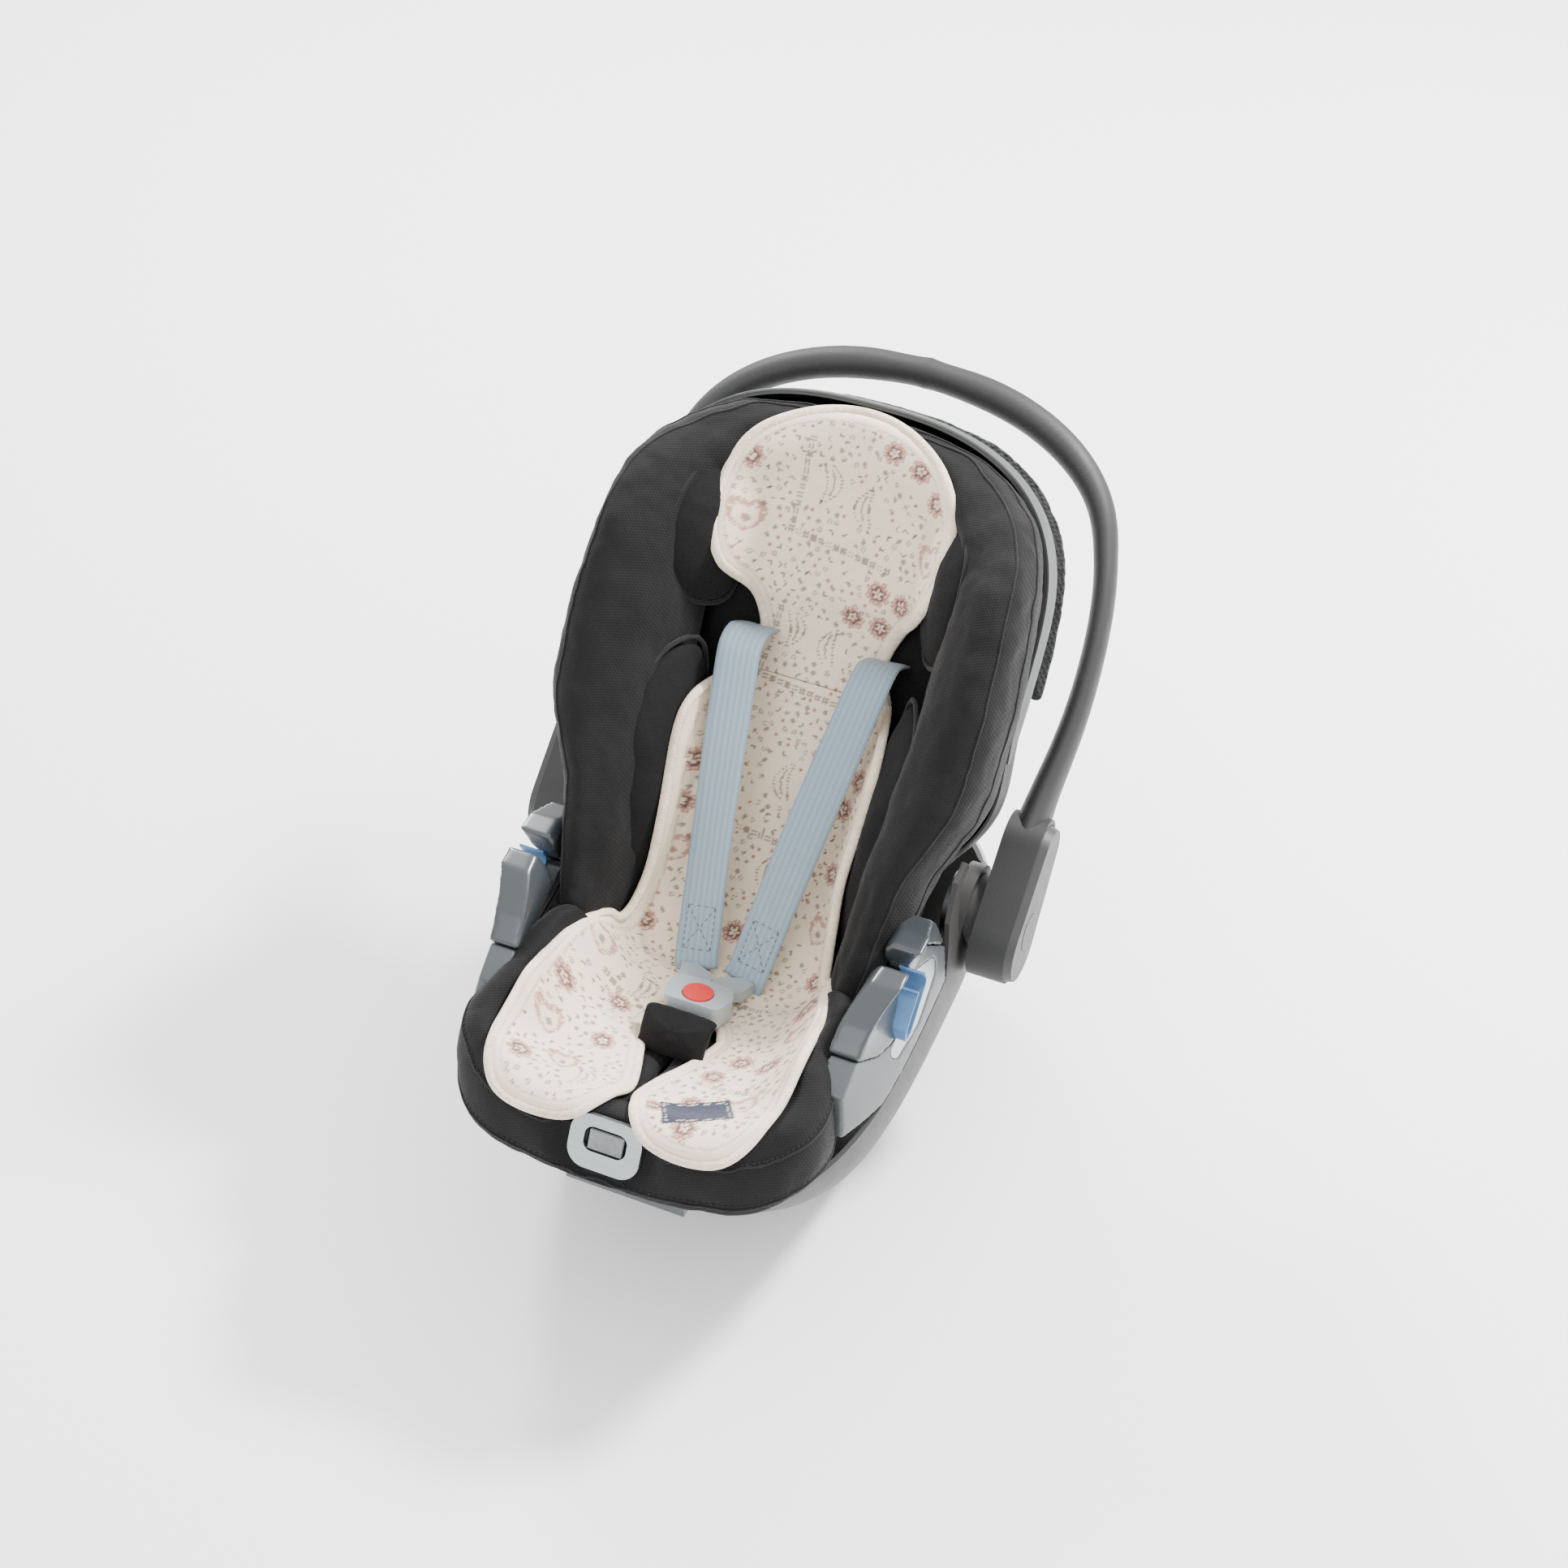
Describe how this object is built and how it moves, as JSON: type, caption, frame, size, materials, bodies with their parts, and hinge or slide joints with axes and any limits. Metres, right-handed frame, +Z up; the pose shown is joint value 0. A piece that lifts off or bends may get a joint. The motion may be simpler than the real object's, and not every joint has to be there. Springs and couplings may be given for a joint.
{
  "type": "infant car seat",
  "caption": "Rearward-facing infant car seat: rocker base, reclining padded bucket with printed liner, shoulder harness and buckle, belt guides, swinging carry handle.",
  "frame": {"origin": "on the floor at the middle of the flat under the rocker, on the symmetry plane", "axes": "+Z up, -Y toward the foot end, +Y toward the head end, X across"},
  "size_m": [0.471, 0.7381, 0.581],
  "materials": {
    "shell_dark": "fine-grained matte moulding",
    "panel_grey": "smooth satin moulding",
    "hook_grey": "satin-gloss moulding",
    "hub_grey": "smooth matte moulding",
    "handle_soft": "soft-touch, fine grain",
    "rim_grey": "satin edge band",
    "rear_grey": "light satin moulding",
    "satin_silver": "satin silver",
    "belt_blue": "smooth blue lining",
    "cover_fabric": "black twill",
    "cushion_fabric": "black jersey",
    "canopy_fabric": "dark folded canopy cloth",
    "liner_fabric": "cream printed cotton",
    "webbing": "pale steel-blue webbing",
    "adjuster_webbing": "grey webbing",
    "buckle_grey": "light grey moulding",
    "button_red": "red moulding",
    "spring_steel": "zinc-plated steel"
  },
  "bodies": {
    "root": {"base_shell": "shell_dark", "side_panel_right": "panel_grey", "side_panel_left": "panel_grey", "guide_trim_right": "satin_silver", "guide_trim_left": "satin_silver", "belt_hook_right": "hook_grey", "belt_hook_left": "hook_grey", "guide_cap_right": "hook_grey", "guide_cap_left": "hook_grey", "slot_liner_right": "belt_blue", "slot_liner_left": "belt_blue", "seat_pan": "shell_dark", "seat_pad": "cover_fabric", "leg_cover": "cover_fabric", "liner_seat": "liner_fabric", "adjuster_plate": "satin_silver", "adjuster_strap": "adjuster_webbing", "adjuster_housing": "shell_dark", "buckle_body": "buckle_grey", "tongue_right": "buckle_grey", "tongue_left": "buckle_grey", "crotch_strap": "webbing", "crotch_pad": "cover_fabric", "strap_end_right": "webbing", "strap_end_left": "webbing", "pivot_pin_right": "spring_steel", "pivot_pin_left": "spring_steel", "pivot_disc_right": "satin_silver", "pivot_disc_left": "satin_silver", "rear_cover": "rear_grey", "latch_bar_front": "spring_steel", "latch_bar_rear": "spring_steel"},
    "handle": {"handle_front_shell": "handle_soft", "handle_rear_shell": "handle_soft", "hub_cover_right": "hub_grey", "hub_cover_left": "hub_grey"},
    "handle_button_right": {"handle_button_right": "hub_grey"},
    "handle_button_left": {"handle_button_left": "hub_grey"},
    "backrest": {"backrest_shell": "shell_dark", "shell_rim": "rim_grey", "back_pad": "cover_fabric", "bolster_right": "cover_fabric", "bolster_left": "cover_fabric", "head_bolster": "cover_fabric", "body_cushion_right": "cushion_fabric", "body_cushion_left": "cushion_fabric", "canopy_pack": "canopy_fabric", "liner_back": "liner_fabric", "shoulder_strap_right": "webbing", "shoulder_strap_left": "webbing"},
    "headrest": {"headrest_plate": "shell_dark", "head_pad": "cushion_fabric", "headrest_wing_right": "cushion_fabric", "headrest_wing_left": "cushion_fabric", "liner_head": "liner_fabric"},
    "headrest_grip": {"headrest_grip": "hook_grey"},
    "buckle_button": {"buckle_button": "button_red"},
    "adjuster_cam": {"adjuster_cam": "spring_steel"},
    "release_lever": {"release_lever": "hook_grey"},
    "recline_lever": {"recline_lever": "hook_grey"}
  },
  "joints": [
    {"name": "handle_turn", "type": "hinge", "parent": "root", "child": "handle", "pos_m": [0, 0.04, 0.21], "axis": [1, 0, 0], "range_deg": [-66, 54]},
    {"name": "handle_button_right_press", "type": "slide", "parent": "handle", "child": "handle_button_right", "axis": [-1, 0, 0], "range_m": [0, 0.003], "stiffness_N_per_m": 900, "springref_m": -0.002},
    {"name": "handle_button_left_press", "type": "slide", "parent": "handle", "child": "handle_button_left", "axis": [1, 0, 0], "range_m": [0, 0.003], "stiffness_N_per_m": 900, "springref_m": -0.002},
    {"name": "backrest_recline", "type": "hinge", "parent": "root", "child": "backrest", "pos_m": [0, -0.058, 0.15], "axis": [-1, 0, 0], "range_deg": [0, 22]},
    {"name": "headrest_height", "type": "slide", "parent": "backrest", "child": "headrest", "axis": [0, -0.6088, -0.7934], "range_m": [0, 0.04]},
    {"name": "headrest_grip_squeeze", "type": "slide", "parent": "headrest", "child": "headrest_grip", "axis": [0, 0.6088, 0.7934], "range_m": [0, 0.005], "stiffness_N_per_m": 800, "springref_m": -0.002},
    {"name": "buckle_press", "type": "slide", "parent": "root", "child": "buckle_button", "axis": [0, -0.314, -0.9494], "range_m": [0, 0.0025], "stiffness_N_per_m": 2500, "springref_m": -0.002},
    {"name": "adjuster_press", "type": "slide", "parent": "root", "child": "adjuster_cam", "axis": [0, 0.866, -0.5], "range_m": [0, 0.006], "stiffness_N_per_m": 1200, "springref_m": -0.002},
    {"name": "release_lever_pull", "type": "slide", "parent": "root", "child": "release_lever", "axis": [0, 1, 0], "range_m": [0, 0.01], "stiffness_N_per_m": 900, "springref_m": -0.002},
    {"name": "recline_lever_pull", "type": "slide", "parent": "root", "child": "recline_lever", "axis": [0, -1, 0], "range_m": [0, 0.012], "stiffness_N_per_m": 900, "springref_m": -0.002}
  ]
}
